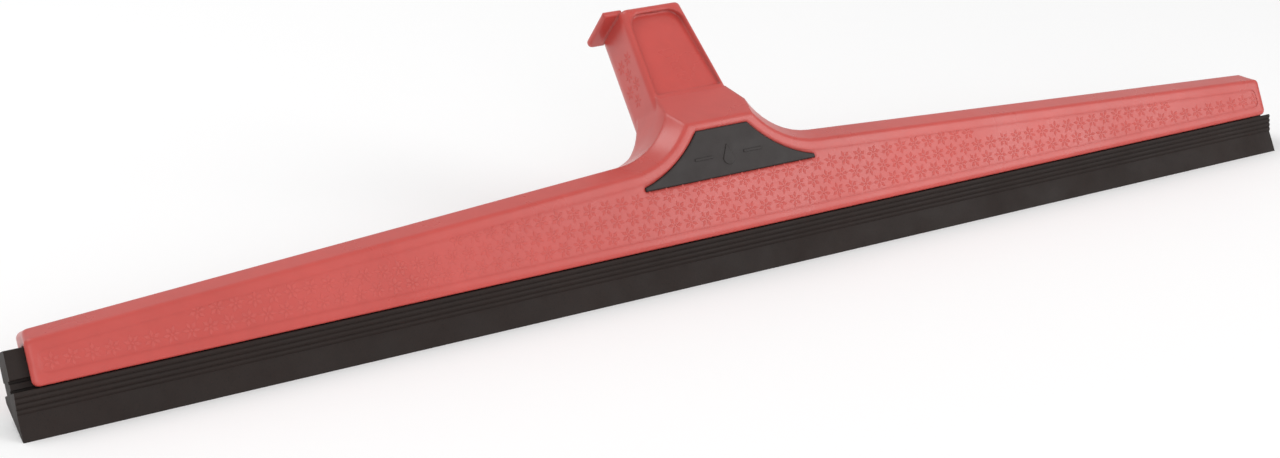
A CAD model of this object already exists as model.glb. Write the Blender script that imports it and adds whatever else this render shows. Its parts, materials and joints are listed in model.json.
import json
from math import atan2, ceil, cos, pi, radians, sin, tan

import bmesh
import bpy
import numpy as np
from bpy.props import FloatProperty, FloatVectorProperty, IntProperty, PointerProperty
from mathutils import Matrix, Vector, noise
from mathutils.bvhtree import BVHTree


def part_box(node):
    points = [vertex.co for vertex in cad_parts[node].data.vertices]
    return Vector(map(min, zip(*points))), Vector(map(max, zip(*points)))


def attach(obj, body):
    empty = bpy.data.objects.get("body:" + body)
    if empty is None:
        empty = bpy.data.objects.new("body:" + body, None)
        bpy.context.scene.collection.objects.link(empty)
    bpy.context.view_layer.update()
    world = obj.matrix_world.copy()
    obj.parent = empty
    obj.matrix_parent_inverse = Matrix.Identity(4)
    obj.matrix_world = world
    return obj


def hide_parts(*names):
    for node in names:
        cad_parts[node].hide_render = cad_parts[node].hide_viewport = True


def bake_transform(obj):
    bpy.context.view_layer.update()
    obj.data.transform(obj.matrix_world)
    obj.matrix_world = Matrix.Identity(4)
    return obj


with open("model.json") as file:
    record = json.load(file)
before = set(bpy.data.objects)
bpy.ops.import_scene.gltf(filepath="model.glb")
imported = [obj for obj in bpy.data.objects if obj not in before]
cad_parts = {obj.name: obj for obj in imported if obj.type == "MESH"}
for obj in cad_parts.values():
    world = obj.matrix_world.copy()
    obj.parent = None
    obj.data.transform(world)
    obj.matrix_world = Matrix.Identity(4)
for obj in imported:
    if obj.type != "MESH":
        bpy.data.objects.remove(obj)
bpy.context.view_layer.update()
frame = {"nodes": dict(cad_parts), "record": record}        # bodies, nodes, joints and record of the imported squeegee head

bl_info = {
    "name": "Floor squeegee head",
    "version": (1, 0, 0),
    "blender": (4, 5, 0),
    "location": "3D View > Sidebar > Squeegee",
    "description": "Finishes a moulded floor squeegee head: rubber blade, star field, badge and studio",
    "category": "Object",
}

MM = 0.001
NODES = frame["nodes"]


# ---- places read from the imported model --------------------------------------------

def blade_lean():
    """How far the blade leans back, from the direction that the flat badge faces."""
    widest = max(NODES["badge_plate"].data.polygons, key=lambda face: face.area)
    facing = widest.normal if widest.normal.y < 0 else -widest.normal
    return atan2(facing.z, -facing.y)


# The blade frame: X along the wiping edge, Y rearwards, Z up the blade from its edge.
BLADE = (
    Matrix.Translation((0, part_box("blade_lip")[0].y, 0))
    @ Matrix.Rotation(-blade_lean(), 4, "X")
)
TO_BLADE = BLADE.inverted()


def blade_box(node):
    """Lowest and highest corner of a CAD node, measured in the blade frame."""
    corners = np.array([TO_BLADE @ v.co for v in NODES[node].data.vertices])
    return Vector(corners.min(0)), Vector(corners.max(0))


BODY_LOW, BODY_HIGH = blade_box("body_moulding")
ROOT_LOW, ROOT_HIGH = blade_box("blade_root")
LIP_LOW, LIP_HIGH = blade_box("blade_lip")
BADGE_LOW, BADGE_HIGH = blade_box("badge_plate")
SOCKET = next(m for m in frame["record"]["mounts"] if m["name"] == "handle_socket")
SOCKET_UP = (TO_BLADE.to_3x3() @ Vector(SOCKET["axis"])).normalized()


# ---- sizes and colours that a user would change -----------------------------------

class BladeSettings(bpy.types.PropertyGroup):
    rib_count: IntProperty(
        name="Ribs", description="Long ribs on the blade's front shoulder", default=4, min=1)
    rib_bulge: FloatProperty(
        name="Rib bulge", description="How far each rib rounds out past its step",
        default=0.42 * MM, unit="LENGTH")
    slot_depth: FloatProperty(
        name="Slot depth", description="Depth of the two thin slots in the blade's waist",
        default=1.5 * MM, unit="LENGTH")
    waist_inset: FloatProperty(
        name="Waist inset", description="How far the waist stands back from the head",
        default=1.5 * MM, unit="LENGTH")
    head_height: FloatProperty(
        name="Head height", description="Height of the head that the channel holds",
        default=10.2 * MM, unit="LENGTH")
    corner_radius: FloatProperty(
        name="Corner radius", description="Rounding of the blade's corners",
        default=0.5 * MM, unit="LENGTH")
    waviness: FloatProperty(
        name="Waviness", description="Unevenness of the moulded rubber",
        default=0.1 * MM, unit="LENGTH")
    step: FloatProperty(
        name="Step", description="Length of one mesh step along the blade",
        default=4 * MM, unit="LENGTH")
    colour: FloatVectorProperty(
        name="Rubber", description="Colour of the cellular rubber", subtype="COLOR",
        size=4, default=(0.018, 0.011, 0.009, 1), min=0, max=1)


class StarSettings(bpy.types.PropertyGroup):
    pitch: FloatProperty(
        name="Pitch", description="Distance from star to star", default=6.8 * MM, unit="LENGTH")
    radius: FloatProperty(
        name="Radius", description="Reach of a star's rays", default=3.3 * MM, unit="LENGTH")
    relief: FloatProperty(
        name="Relief", description="Height of a star's rays", default=0.12 * MM, unit="LENGTH")
    rays: IntProperty(name="Rays", description="Rays of each star", default=6, min=3)
    first_row: FloatProperty(
        name="First row", description="Height of the lowest stars above the panel's lower edge",
        default=7.4 * MM, unit="LENGTH")
    colour: FloatVectorProperty(
        name="Stars", description="Colour of the stars' matt skin", subtype="COLOR",
        size=4, default=(0.565, 0.088, 0.075, 1), min=0, max=1)
    seed: IntProperty(name="Seed", description="Seed of the stars' random turns", default=7)


class PlasticSettings(bpy.types.PropertyGroup):
    red: FloatVectorProperty(
        name="Moulding", description="Colour of the body moulding", subtype="COLOR",
        size=4, default=(0.53, 0.072, 0.060, 1), min=0, max=1)
    black: FloatVectorProperty(
        name="Badge", description="Colour of the badge", subtype="COLOR",
        size=4, default=(0.024, 0.018, 0.017, 1), min=0, max=1)
    edge_radius: FloatProperty(
        name="Edge radius", description="Shaded rounding of the moulding's sharp edges",
        default=2.2 * MM, unit="LENGTH")


class StudioSettings(bpy.types.PropertyGroup):
    target: FloatVectorProperty(
        name="Target", description="Point that the camera looks at", subtype="TRANSLATION",
        size=3, default=(-0.0407, 0.0155, 0.0210))
    distance: FloatProperty(
        name="Distance", description="From the camera to its target", default=0.8, unit="LENGTH")
    azimuth: FloatProperty(
        name="Azimuth", description="Turn of the view from straight ahead",
        default=radians(29.61), unit="ROTATION")
    elevation: FloatProperty(
        name="Elevation", description="How far the camera looks down",
        default=radians(22.40), unit="ROTATION")
    lens: FloatProperty(name="Focal length", description="In millimetres", default=59.06)
    floor: FloatVectorProperty(
        name="Floor", description="Colour of the floor", subtype="COLOR",
        size=4, default=(0.98, 0.98, 0.98, 1), min=0, max=1)


# ---- node helpers -----------------------------------------------------------------

def node(tree, kind, **settings):
    """A new node with its settings made."""
    made = tree.nodes.new(kind)
    for name, value in settings.items():
        setattr(made, name, value)
    return made


def plug(tree, pairs):
    """Links or sets inputs: each key is an input socket, each value a socket or a constant."""
    for target, value in pairs.items():
        if isinstance(value, bpy.types.NodeSocket):
            tree.links.new(value, target)
        else:
            target.default_value = value


def new_group(name, kind, inputs, outputs):
    """A node group with named sockets, and its input and output nodes."""
    tree = bpy.data.node_groups.new(name, kind)
    for label, socket, value in inputs:
        made = tree.interface.new_socket(label, in_out="INPUT", socket_type=socket)
        if value is not None:
            made.default_value = value
    for label, socket in outputs:
        tree.interface.new_socket(label, in_out="OUTPUT", socket_type=socket)
    return tree, tree.nodes.new("NodeGroupInput"), tree.nodes.new("NodeGroupOutput")


def maths(tree, operation, first, second):
    """The output of a Math node on two values or sockets."""
    made = node(tree, "ShaderNodeMath", operation=operation)
    plug(tree, {made.inputs[0]: first, made.inputs[1]: second})
    return made.outputs[0]


def noise_value(tree, vector, scale, detail=3.0, distortion=0.0):
    """The factor of a Noise texture."""
    made = node(tree, "ShaderNodeTexNoise")
    plug(tree, {
        made.inputs["Vector"]: vector, made.inputs["Scale"]: scale,
        made.inputs["Detail"]: detail, made.inputs["Distortion"]: distortion,
    })
    return made.outputs["Fac"]


def spread(tree, value, low, high):
    """A value from 0.3 to 0.7 spread over a new range, and clamped to it."""
    made = node(tree, "ShaderNodeMapRange")
    plug(tree, {
        made.inputs["Value"]: value, made.inputs["From Min"]: 0.3,
        made.inputs["From Max"]: 0.7, made.inputs["To Min"]: low, made.inputs["To Max"]: high,
    })
    return made.outputs["Result"]


# ---- shared surface effects -------------------------------------------------------

def cloudy_colour():
    """Group: a colour that drifts a little lighter and darker over the surface."""
    found = bpy.data.node_groups.get("cloudy_colour")
    if found:
        return found
    tree, start, end = new_group(
        "cloudy_colour", "ShaderNodeTree",
        [("Colour", "NodeSocketColor", (1, 1, 1, 1)), ("Amount", "NodeSocketFloat", 0.1),
         ("Scale", "NodeSocketFloat", 30.0)],
        [("Colour", "NodeSocketColor")],
    )
    place = tree.nodes.new("ShaderNodeTexCoord").outputs["Object"]
    wide = noise_value(tree, place, start.outputs["Scale"])
    fine = noise_value(tree, place, maths(tree, "MULTIPLY", start.outputs["Scale"], 9.0))
    both = maths(tree, "ADD", maths(tree, "MULTIPLY", wide, 0.65), maths(tree, "MULTIPLY", fine, 0.35))
    shift = maths(tree, "MULTIPLY", maths(tree, "SUBTRACT", both, 0.5), start.outputs["Amount"])
    shade = maths(tree, "ADD", maths(tree, "MULTIPLY", shift, 4.0), 1.0)
    mixed = node(tree, "ShaderNodeHueSaturation")
    plug(tree, {mixed.inputs["Color"]: start.outputs["Colour"], mixed.inputs["Value"]: shade})
    plug(tree, {end.inputs["Colour"]: mixed.outputs["Color"]})
    return tree


def handled_surface():
    """Group: roughness and height of a moulded surface with fine grain and light rubs."""
    found = bpy.data.node_groups.get("handled_surface")
    if found:
        return found
    tree, start, end = new_group(
        "handled_surface", "ShaderNodeTree",
        [("Roughness", "NodeSocketFloat", 0.4), ("Variation", "NodeSocketFloat", 0.1),
         ("Grain scale", "NodeSocketFloat", 2500.0), ("Rub scale", "NodeSocketFloat", 60.0)],
        [("Roughness", "NodeSocketFloat"), ("Height", "NodeSocketFloat")],
    )
    place = tree.nodes.new("ShaderNodeTexCoord").outputs["Object"]
    rubs = noise_value(tree, place, start.outputs["Rub scale"], detail=4.0, distortion=0.2)
    centred = maths(tree, "SUBTRACT", rubs, 0.5)
    change = maths(tree, "MULTIPLY", centred, maths(tree, "MULTIPLY", start.outputs["Variation"], 3.0))
    grain = noise_value(tree, place, start.outputs["Grain scale"], detail=2.0)
    swell = maths(tree, "MULTIPLY", rubs, 3.0)
    plug(tree, {
        end.inputs["Roughness"]: maths(tree, "ADD", start.outputs["Roughness"], change),
        end.inputs["Height"]: maths(tree, "ADD", grain, swell),
    })
    return tree


def place_group(tree, group, **values):
    """A group node in a material, with its inputs set; underscores stand for spaces."""
    made = tree.nodes.new("ShaderNodeGroup")
    made.node_tree = group
    for name, value in values.items():
        plug(tree, {made.inputs[name.replace("_", " ")]: value})
    return made


def new_material(name):
    """An empty node material, its tree, its surface shader."""
    material = bpy.data.materials.new(name)
    material.use_nodes = True
    tree = material.node_tree
    tree.nodes.clear()
    surface = tree.nodes.new("ShaderNodeBsdfPrincipled")
    output = tree.nodes.new("ShaderNodeOutputMaterial")
    tree.links.new(surface.outputs["BSDF"], output.inputs["Surface"])
    return material, tree, surface


def bump(tree, surface, height, strength, distance, normal=None):
    """A height wired to the surface's normal."""
    made = tree.nodes.new("ShaderNodeBump")
    plug(tree, {
        made.inputs["Height"]: height, made.inputs["Strength"]: strength,
        made.inputs["Distance"]: distance,
    })
    if normal is not None:
        plug(tree, {made.inputs["Normal"]: normal})
    plug(tree, {surface.inputs["Normal"]: made.outputs["Normal"]})


# ---- materials --------------------------------------------------------------------

def moulded_plastic(name, colour, roughness, edge_radius=None):
    """Satin polypropylene: faint flow clouds, fine grain and, on sharp CAD edges, a rounding."""
    found = bpy.data.materials.get(name)
    if found:
        return found
    material, tree, surface = new_material(name)
    clouds = place_group(tree, cloudy_colour(), Colour=colour, Amount=0.09, Scale=22.0)
    marks = place_group(
        tree, handled_surface(), Roughness=roughness, Variation=0.09,
        Grain_scale=1600.0, Rub_scale=45.0)
    surface.inputs["Subsurface Weight"].default_value = 0.12
    surface.inputs["Subsurface Radius"].default_value = (1.0, 0.35, 0.25)
    surface.inputs["Subsurface Scale"].default_value = 1.5 * MM
    surface.inputs["IOR"].default_value = 1.49
    plug(tree, {
        surface.inputs["Base Color"]: clouds.outputs["Colour"],
        surface.inputs["Roughness"]: marks.outputs["Roughness"],
    })
    rounded_normal = None
    if edge_radius is not None:
        rounding = node(tree, "ShaderNodeBevel", samples=12)
        rounding.inputs["Radius"].default_value = edge_radius
        rounded_normal = rounding.outputs["Normal"]
    bump(tree, surface, marks.outputs["Height"], 0.12, 0.05 * MM, rounded_normal)
    return material


def badge_plastic(settings):
    """Matt black moulded plastic with a fine spark-eroded grain."""
    material, tree, surface = new_material("badge_black")
    clouds = place_group(tree, cloudy_colour(), Colour=tuple(settings.black), Amount=0.16, Scale=60.0)
    marks = place_group(
        tree, handled_surface(), Roughness=0.55, Variation=0.1, Grain_scale=2600.0, Rub_scale=120.0)
    plug(tree, {
        surface.inputs["Base Color"]: clouds.outputs["Colour"],
        surface.inputs["Roughness"]: marks.outputs["Roughness"],
    })
    surface.inputs["Specular IOR Level"].default_value = 0.4
    rounding = node(tree, "ShaderNodeBevel", samples=4)
    rounding.inputs["Radius"].default_value = settings.edge_radius / 6
    bump(tree, surface, marks.outputs["Height"], 0.5, 0.06 * MM, rounding.outputs["Normal"])
    return material


def cellular_rubber(settings):
    """Matt foam rubber: a dusty skin with small open cells, greyer where it is scuffed."""
    material, tree, surface = new_material("cellular_rubber")
    clouds = place_group(tree, cloudy_colour(), Colour=tuple(settings.colour), Amount=0.2, Scale=35.0)
    marks = place_group(
        tree, handled_surface(), Roughness=0.62, Variation=0.12, Grain_scale=1500.0, Rub_scale=70.0)
    place = tree.nodes.new("ShaderNodeTexCoord").outputs["Object"]
    cells = node(tree, "ShaderNodeTexVoronoi")
    plug(tree, {cells.inputs["Vector"]: place, cells.inputs["Scale"]: 900.0})
    specks = node(tree, "ShaderNodeMapRange")
    plug(tree, {
        specks.inputs["Value"]: cells.outputs["Distance"], specks.inputs["From Min"]: 0.05,
        specks.inputs["From Max"]: 0.28, specks.inputs["To Min"]: 0.0, specks.inputs["To Max"]: 1.0,
    })
    pores = node(tree, "ShaderNodeMix", data_type="RGBA")
    plug(tree, {
        pores.inputs[0]: specks.outputs["Result"],
        pores.inputs[6]: (0.012, 0.009, 0.008, 1.0),
        pores.inputs[7]: clouds.outputs["Colour"],
    })
    height = maths(tree, "ADD", marks.outputs["Height"], specks.outputs["Result"])
    surface.inputs["Specular IOR Level"].default_value = 0.25
    plug(tree, {
        surface.inputs["Base Color"]: pores.outputs[2],
        surface.inputs["Roughness"]: marks.outputs["Roughness"],
    })
    bump(tree, surface, height, 0.45, 0.08 * MM)
    return material


def dress(name, material):
    """Gives a CAD node its finish, and leaves its mesh alone."""
    slots = NODES[name].data.materials
    slots.clear()
    slots.append(material)


# ---- mesh helpers -----------------------------------------------------------------

def finish_mesh(name, vertices, faces, material, sharp=radians(35)):
    """A piece from vertices in the blade frame, smooth but for its sharp edges."""
    mesh = bpy.data.meshes.new(name)
    mesh.from_pydata([BLADE @ Vector(v) for v in vertices], [], faces)
    shape = bmesh.new()
    shape.from_mesh(mesh)
    bmesh.ops.remove_doubles(shape, verts=shape.verts, dist=0.001 * MM)
    bmesh.ops.recalc_face_normals(shape, faces=shape.faces)
    wide = [face for face in shape.faces if len(face.verts) > 4]
    bmesh.ops.triangulate(shape, faces=wide)
    shape.to_mesh(mesh)
    shape.free()
    mesh.shade_smooth()
    mesh.set_sharp_from_angle(angle=sharp)
    mesh.materials.append(material)
    piece = bpy.data.objects.new(name, mesh)
    bpy.context.scene.collection.objects.link(piece)
    return piece


def rounded(corners, steps=4):
    """An outline whose corners, given as (y, z, radius), are rounded off."""
    outline = []
    for index, (y, z, radius) in enumerate(corners):
        here = Vector((y, z))
        back = Vector(corners[index - 1][:2]) - here
        ahead = Vector(corners[(index + 1) % len(corners)][:2]) - here
        half = back.angle(ahead) / 2
        reach = min(radius / tan(half), 0.48 * back.length, 0.48 * ahead.length)
        if radius == 0 or half > radians(85):
            outline.append(here)
            continue
        start = here + back.normalized() * reach
        end = here + ahead.normalized() * reach
        for step in range(steps + 1):
            share = step / steps
            bowed = start.lerp(here, share).lerp(here.lerp(end, share), share)
            outline.append(bowed)
    return outline


# ---- the rubber blade -------------------------------------------------------------

def rib_front(settings, bottom, top):
    """The ribbed front shoulder, from the top rib's top down to the lip's flat front."""
    pitch = (top - bottom) / settings.rib_count
    stride = (LIP_LOW.y - ROOT_LOW.y) / settings.rib_count
    points = []
    for number in range(settings.rib_count):
        out = ROOT_LOW.y + stride * number
        high = top - pitch * number
        for step in range(1, 7):
            share = step / 7
            bulge = settings.rib_bulge * (sin(pi * share) - 1)
            points.append((out - bulge + stride * share, high - pitch * share, 0))
        points.append((out + stride + 1.1 * settings.rib_bulge, high - pitch, 0))
    return points


def blade_outline(settings):
    """The blade's section in the blade frame, from the lip's front corner round its rear."""
    r = settings.corner_radius
    shoulder = BODY_LOW.z - 0.4 * MM
    head_low = ROOT_HIGH.z - settings.head_height
    channel = 3.3 * MM
    head_front = BODY_LOW.y + channel
    head_rear = ROOT_HIGH.y + 0.5 * MM - channel
    waist_front = head_front + settings.waist_inset
    waist_rear = head_rear - settings.waist_inset
    rib = (head_low - shoulder) / 3
    slot = waist_front + settings.slot_depth
    facet = TO_BLADE @ Vector((0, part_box("blade_lip")[0].y + 1.24 * MM, 0))
    rear_low = ROOT_HIGH.y
    rear_drop = shoulder - 2.4 * MM
    front = rib_front(settings, LIP_HIGH.z - 5 * MM, shoulder)
    corners = [
        (LIP_LOW.y, 0, 0), (facet.y, facet.z, 0),
        (rear_low, rear_drop, 2 * r), (rear_low, shoulder, r), (waist_rear, shoulder, 0),
        (waist_rear, head_low, 0), (head_rear, head_low, r), (head_rear, ROOT_HIGH.z, 2 * r),
        (head_front, ROOT_HIGH.z, 2 * r), (head_front, head_low, r),
        (slot, head_low, 0), (slot, head_low - 0.7 * rib, 0),
        (waist_front, head_low - 0.8 * rib, 0), (waist_front, shoulder + 0.8 * rib, 0),
        (slot, shoulder + 0.7 * rib, 0), (slot, shoulder, 0),
        (ROOT_LOW.y + r, shoulder, r),
    ]
    return rounded(corners + front)


def uneven(settings, x, y, z):
    """Small unevenness of moulded rubber, fading out in the channel and at the edge."""
    free = min(1.0, max(0.0, (BODY_LOW.z - z) / (3 * MM)), max(0.0, z / (2 * MM) - 0.4))
    wave = noise.noise(Vector((x * 45, z * 160, 3.0)))
    return y + settings.waviness * wave * free


def make_blade(settings):
    """The blade in one piece, from end to end, with its section walked along X."""
    outline = blade_outline(settings)
    count = ceil((ROOT_HIGH.x - ROOT_LOW.x) / settings.step)
    vertices = []
    for number in range(count + 1):
        x = ROOT_LOW.x + (ROOT_HIGH.x - ROOT_LOW.x) * number / count
        vertices += [(x, uneven(settings, x, p.x, p.y), p.y) for p in outline]
    size = len(outline)
    faces = [list(range(size)), list(range(count * size, (count + 1) * size))]
    for number in range(count):
        for side in range(size):
            following = (side + 1) % size
            low, high = number * size, (number + 1) * size
            faces.append([low + side, low + following, high + following, high + side])
    return finish_mesh("rubber_blade", vertices, faces, cellular_rubber(settings))


# ---- the star field ---------------------------------------------------------------

def body_surface():
    """The body moulding's triangles in the blade frame, for probing with rays."""
    mesh = NODES["body_moulding"].data
    points = [TO_BLADE @ v.co for v in mesh.vertices]
    return BVHTree.FromPolygons(points, [list(p.vertices) for p in mesh.polygons])


def lies_flat(surface, place, probe, reach, level):
    """True where the surface stays flat and at one level within reach of a place."""
    around = [Vector((0, 0, 0))]
    across = probe.orthogonal().normalized()
    for step in range(8):
        around.append(Matrix.Rotation(step * pi / 4, 3, probe) @ across * reach)
    for offset in around:
        hit, normal, _, _ = surface.ray_cast(place + offset - probe * 0.1, probe)
        if hit is None or normal.dot(-probe) < 0.9995:
            return False
        if abs((hit - place).dot(probe) - level) > 0.05 * MM:
            return False
    return True


def field(surface, settings, corner, right, probe, width, height, reach):
    """Star places on one flat side, in staggered rows that start at its lower corner."""
    found = []
    up = right.cross(probe)
    row_pitch = settings.pitch * cos(pi / 6)
    for row in range(ceil(height / row_pitch)):
        for column in range(ceil(width / settings.pitch)):
            along = (column + 0.5 * (row % 2)) * settings.pitch
            place = corner + right * along + up * (row * row_pitch)
            hit = surface.ray_cast(place - probe * 0.1, probe)[0]
            if hit is None:
                continue
            level = (hit - place).dot(probe)
            on_border = abs(level) < 0.1 * MM
            if not on_border and lies_flat(surface, place, probe, reach, level):
                found.append((hit, -probe))
    return found


def flank_facing(side):
    """The way that the socket's flat flank faces, on the side -1 or 1."""
    turned = TO_BLADE.to_3x3()
    found = Vector((side, 0, 0))
    widest = 0.0
    for face in NODES["body_moulding"].data.polygons:
        way = turned @ face.normal
        high = (TO_BLADE @ face.center).z > BADGE_HIGH.z + 15 * MM
        if high and way.x * side > 0.95 and face.area > widest:
            found, widest = way.normalized(), face.area
    return found


def star_places(settings):
    """Every star's place and the way it faces: the panel and both flanks of the socket."""
    surface = body_surface()
    length = BODY_HIGH.x - BODY_LOW.x
    low = BODY_LOW + Vector((settings.first_row, 0, settings.first_row))
    cut_off = 0.3 * settings.radius
    places = field(
        surface, settings, low, Vector((1, 0, 0)), Vector((0, 1, 0)), length, BADGE_HIGH.z, cut_off)
    mouth = TO_BLADE @ Vector(SOCKET["pos_m"])
    reach = SOCKET["dims"]["length_mm"] * MM
    for side in (-1, 1):
        probe = -flank_facing(side)
        right = probe.cross(SOCKET_UP).normalized()
        low = mouth - SOCKET_UP * reach * 1.2 - right * reach / 3
        places += field(surface, settings, low, right, probe, reach, 1.4 * reach, settings.radius)
    return places


def star_tree():
    """Geometry nodes: one low star of ray lozenges and a boss, set on every point."""
    tree, start, end = new_group(
        "star_field", "GeometryNodeTree",
        [("Geometry", "NodeSocketGeometry", None), ("Radius", "NodeSocketFloat", 0.003),
         ("Relief", "NodeSocketFloat", 0.0002), ("Rays", "NodeSocketInt", 6),
         ("Seed", "NodeSocketInt", 1), ("Finish", "NodeSocketMaterial", None)],
        [("Geometry", "NodeSocketGeometry")],
    )
    radius = start.outputs["Radius"]
    relief = start.outputs["Relief"]
    ray = node(tree, "GeometryNodeMeshCone", fill_type="NGON")
    plug(tree, {
        ray.inputs["Vertices"]: 4, ray.inputs["Radius Top"]: maths(tree, "MULTIPLY", radius, 0.7),
        ray.inputs["Radius Bottom"]: radius, ray.inputs["Depth"]: relief,
    })
    slim = tree.nodes.new("GeometryNodeTransform")
    plug(tree, {slim.inputs["Geometry"]: ray.outputs["Mesh"], slim.inputs["Scale"]: (0.44, 0.24, 1.0)})
    ring = tree.nodes.new("GeometryNodeMeshCircle")
    plug(tree, {
        ring.inputs["Vertices"]: start.outputs["Rays"],
        ring.inputs["Radius"]: maths(tree, "MULTIPLY", radius, 0.57),
    })
    turn = tree.nodes.new("FunctionNodeAxisAngleToRotation")
    whole = maths(tree, "DIVIDE", 2 * pi, start.outputs["Rays"])
    number = tree.nodes.new("GeometryNodeInputIndex").outputs[0]
    plug(tree, {turn.inputs["Axis"]: (0, 0, 1), turn.inputs["Angle"]: maths(tree, "MULTIPLY", number, whole)})
    rays = tree.nodes.new("GeometryNodeInstanceOnPoints")
    plug(tree, {
        rays.inputs["Points"]: ring.outputs["Mesh"], rays.inputs["Instance"]: slim.outputs["Geometry"],
        rays.inputs["Rotation"]: turn.outputs["Rotation"],
    })
    boss = node(tree, "GeometryNodeMeshCone", fill_type="NGON")
    plug(tree, {
        boss.inputs["Vertices"]: 6, boss.inputs["Radius Top"]: maths(tree, "MULTIPLY", radius, 0.1),
        boss.inputs["Radius Bottom"]: maths(tree, "MULTIPLY", radius, 0.17), boss.inputs["Depth"]: relief,
    })
    star = tree.nodes.new("GeometryNodeJoinGeometry")
    plug(tree, {star.inputs[0]: rays.outputs["Instances"]})
    plug(tree, {star.inputs[0]: boss.outputs["Mesh"]})
    facing = node(tree, "GeometryNodeInputNamedAttribute", data_type="FLOAT_VECTOR")
    facing.inputs["Name"].default_value = "facing"
    stand = node(tree, "FunctionNodeAlignRotationToVector", axis="Z")
    plug(tree, {stand.inputs["Vector"]: facing.outputs["Attribute"]})
    chance = node(tree, "FunctionNodeRandomValue", data_type="FLOAT")
    plug(tree, {chance.inputs[3]: 2 * pi, chance.inputs["Seed"]: start.outputs["Seed"]})
    spin = tree.nodes.new("FunctionNodeAxisAngleToRotation")
    plug(tree, {spin.inputs["Axis"]: (0, 0, 1), spin.inputs["Angle"]: chance.outputs[1]})
    both = node(tree, "FunctionNodeRotateRotation", rotation_space="LOCAL")
    plug(tree, {
        both.inputs["Rotation"]: stand.outputs["Rotation"],
        both.inputs["Rotate By"]: spin.outputs["Rotation"],
    })
    stars = tree.nodes.new("GeometryNodeInstanceOnPoints")
    plug(tree, {
        stars.inputs["Points"]: start.outputs["Geometry"], stars.inputs["Instance"]: star.outputs[0],
        stars.inputs["Rotation"]: both.outputs["Rotation"],
    })
    real = tree.nodes.new("GeometryNodeRealizeInstances")
    painted = tree.nodes.new("GeometryNodeSetMaterial")
    plug(tree, {
        real.inputs["Geometry"]: stars.outputs["Instances"],
        painted.inputs["Geometry"]: real.outputs["Geometry"],
        painted.inputs["Material"]: start.outputs["Finish"],
        end.inputs["Geometry"]: painted.outputs["Geometry"],
    })
    return tree


def apply_nodes(carrier, tree, values, name):
    """Runs a geometry node tree on a carrier and keeps the result as a plain mesh piece."""
    modifier = carrier.modifiers.new("nodes", "NODES")
    modifier.node_group = tree
    for item in tree.interface.items_tree:
        if item.item_type == "SOCKET" and item.in_out == "INPUT" and item.name in values:
            modifier[item.identifier] = values[item.name]
    bpy.context.view_layer.update()
    ready = carrier.evaluated_get(bpy.context.evaluated_depsgraph_get())
    mesh = bpy.data.meshes.new_from_object(ready)
    mesh.name = name
    bpy.data.objects.remove(carrier)
    piece = bpy.data.objects.new(name, mesh)
    bpy.context.scene.collection.objects.link(piece)
    return piece


def make_stars(settings, material):
    """The low stars of the panel's field."""
    places = star_places(settings)
    mesh = bpy.data.meshes.new("star_carrier")
    sunk = 0.03 * MM
    turned = BLADE.to_3x3()
    mesh.from_pydata([BLADE @ (place - facing * sunk) for place, facing in places], [], [])
    facing = mesh.attributes.new("facing", "FLOAT_VECTOR", "POINT")
    ways = np.array([turned @ way for _, way in places], dtype=np.float32)
    facing.data.foreach_set("vector", ways.ravel())
    carrier = bpy.data.objects.new("star_carrier", mesh)
    bpy.context.scene.collection.objects.link(carrier)
    values = {
        "Radius": settings.radius, "Relief": settings.relief + sunk, "Rays": settings.rays,
        "Seed": settings.seed, "Finish": material,
    }
    return apply_nodes(carrier, star_tree(), values, "panel_stars")


# ---- studio -----------------------------------------------------------------------

def studio_floor(settings):
    """A plain pale floor, far larger than the view."""
    reach = 6.0
    mesh = bpy.data.meshes.new("studio_floor")
    corners = [(-reach, -reach, 0), (reach, -reach, 0), (reach, reach, 0), (-reach, reach, 0)]
    mesh.from_pydata(corners, [], [(0, 1, 2, 3)])
    material, tree, surface = new_material("studio_floor")
    surface.inputs["Base Color"].default_value = tuple(settings.floor)
    surface.inputs["Roughness"].default_value = 0.9
    surface.inputs["Specular IOR Level"].default_value = 0.1
    mesh.materials.append(material)
    floor = bpy.data.objects.new("studio_floor", mesh)
    bpy.context.scene.collection.objects.link(floor)


def softbox(name, place, target, size, power, colour=(1, 1, 1)):
    """A square area light that faces a target."""
    light = bpy.data.lights.new(name, "AREA")
    light.size = size
    light.energy = power
    light.color = colour
    lamp = bpy.data.objects.new(name, light)
    lamp.location = place
    lamp.rotation_euler = (Vector(target) - Vector(place)).to_track_quat("-Z", "Y").to_euler()
    bpy.context.scene.collection.objects.link(lamp)


def studio_light():
    """Bright even surroundings, a soft key from above and behind, and a broad front fill."""
    world = bpy.data.worlds.new("studio")
    world.use_nodes = True
    glow = world.node_tree.nodes["Background"]
    glow.inputs["Color"].default_value = (1, 1, 1, 1)
    glow.inputs["Strength"].default_value = 0.68
    bpy.context.scene.world = world
    bpy.context.scene.view_settings.view_transform = "Standard"
    middle = (0, 0.02, 0.03)
    softbox("rear_softbox", (-0.5, 0.6, 1.2), middle, 0.6, 5)
    softbox("right_softbox", (0.98, -1.12, 0.67), middle, 0.8, 7)
    softbox("front_softbox", (-0.6, -1.5, 0.55), middle, 0.8, 5)


def camera(settings):
    """The camera, looking down and across the head from its front left."""
    a, e = settings.azimuth, settings.elevation
    ahead = Vector((sin(a) * cos(e), cos(a) * cos(e), -sin(e)))
    data = bpy.data.cameras.new("camera")
    data.lens = settings.lens
    data.sensor_width = 36.0
    made = bpy.data.objects.new("camera", data)
    made.location = Vector(settings.target) - ahead * settings.distance
    made.rotation_euler = ahead.to_track_quat("-Z", "Y").to_euler()
    bpy.context.scene.collection.objects.link(made)
    bpy.context.scene.camera = made


# ---- operators --------------------------------------------------------------------

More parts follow.
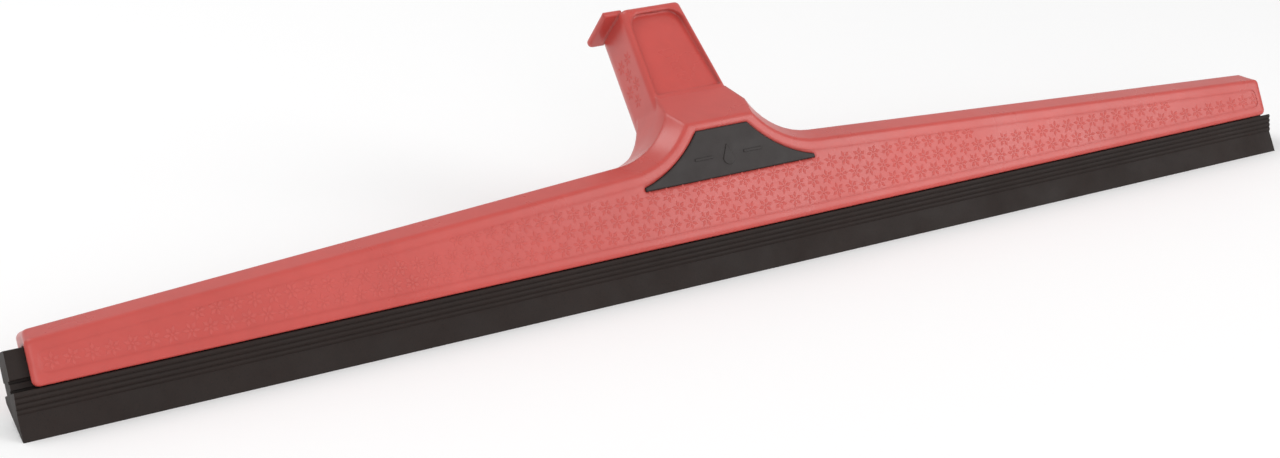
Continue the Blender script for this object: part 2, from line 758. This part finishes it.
class SQUEEGEE_OT_stage(bpy.types.Operator):
    """Set up the floor, the lights and the camera"""
    bl_idname = "squeegee.stage"
    bl_label = "Studio"

    def execute(self, context):
        settings = context.scene.squeegee_studio
        studio_floor(settings)
        studio_light()
        camera(settings)
        return {"FINISHED"}


class SQUEEGEE_OT_body(bpy.types.Operator):
    """Give the body moulding its red satin plastic"""
    bl_idname = "squeegee.body"
    bl_label = "Body moulding"

    def execute(self, context):
        settings = context.scene.squeegee_plastic
        red = moulded_plastic("satin_red", tuple(settings.red), 0.30, settings.edge_radius)
        dress("body_moulding", red)
        return {"FINISHED"}


class SQUEEGEE_OT_stars(bpy.types.Operator):
    """Raise the field of low stars on the panel"""
    bl_idname = "squeegee.stars"
    bl_label = "Star field"

    def execute(self, context):
        settings = context.scene.squeegee_stars
        stars = make_stars(settings, moulded_plastic("star_red", tuple(settings.colour), 0.62))
        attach(stars, "body")
        return {"FINISHED"}


class SQUEEGEE_OT_badge(bpy.types.Operator):
    """Give the badge its matt black plastic"""
    bl_idname = "squeegee.badge"
    bl_label = "Badge"

    def execute(self, context):
        dress("badge_plate", badge_plastic(context.scene.squeegee_plastic))
        return {"FINISHED"}


class SQUEEGEE_OT_blade(bpy.types.Operator):
    """Make the cellular rubber blade in one flexing piece"""
    bl_idname = "squeegee.blade"
    bl_label = "Rubber blade"

    def execute(self, context):
        blade = make_blade(context.scene.squeegee_blade)
        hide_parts("blade_root", "blade_lip")
        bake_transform(blade)
        return {"FINISHED"}


class SQUEEGEE_PT_panel(bpy.types.Panel):
    """Sizes, colours and pieces of the squeegee head"""
    bl_idname = "SQUEEGEE_PT_panel"
    bl_label = "Squeegee head"
    bl_space_type = "VIEW_3D"
    bl_region_type = "UI"
    bl_category = "Squeegee"

    def draw(self, context):
        layout = self.layout
        for operator, group in STEPS:
            box = layout.box()
            box.operator(operator.bl_idname)
            if group is not None:
                settings = getattr(context.scene, group)
                for name in settings.bl_rna.properties.keys()[2:]:
                    box.prop(settings, name)


STEPS = [
    (SQUEEGEE_OT_stage, "squeegee_studio"),
    (SQUEEGEE_OT_body, "squeegee_plastic"),
    (SQUEEGEE_OT_stars, "squeegee_stars"),
    (SQUEEGEE_OT_badge, None),
    (SQUEEGEE_OT_blade, "squeegee_blade"),
]
GROUPS = {
    "squeegee_studio": StudioSettings, "squeegee_plastic": PlasticSettings,
    "squeegee_stars": StarSettings, "squeegee_blade": BladeSettings,
}


def register():
    for name, group in GROUPS.items():
        bpy.utils.register_class(group)
        setattr(bpy.types.Scene, name, PointerProperty(type=group))
    for operator, _ in STEPS:
        bpy.utils.register_class(operator)
    bpy.utils.register_class(SQUEEGEE_PT_panel)


def unregister():
    bpy.utils.unregister_class(SQUEEGEE_PT_panel)
    for operator, _ in reversed(STEPS):
        bpy.utils.unregister_class(operator)
    for name, group in GROUPS.items():
        delattr(bpy.types.Scene, name)
        bpy.utils.unregister_class(group)


def main():
    register()
    for operator, _ in STEPS:
        area, action = operator.bl_idname.split(".")
        getattr(getattr(bpy.ops, area), action)()


if __name__ == "__main__":
    main()
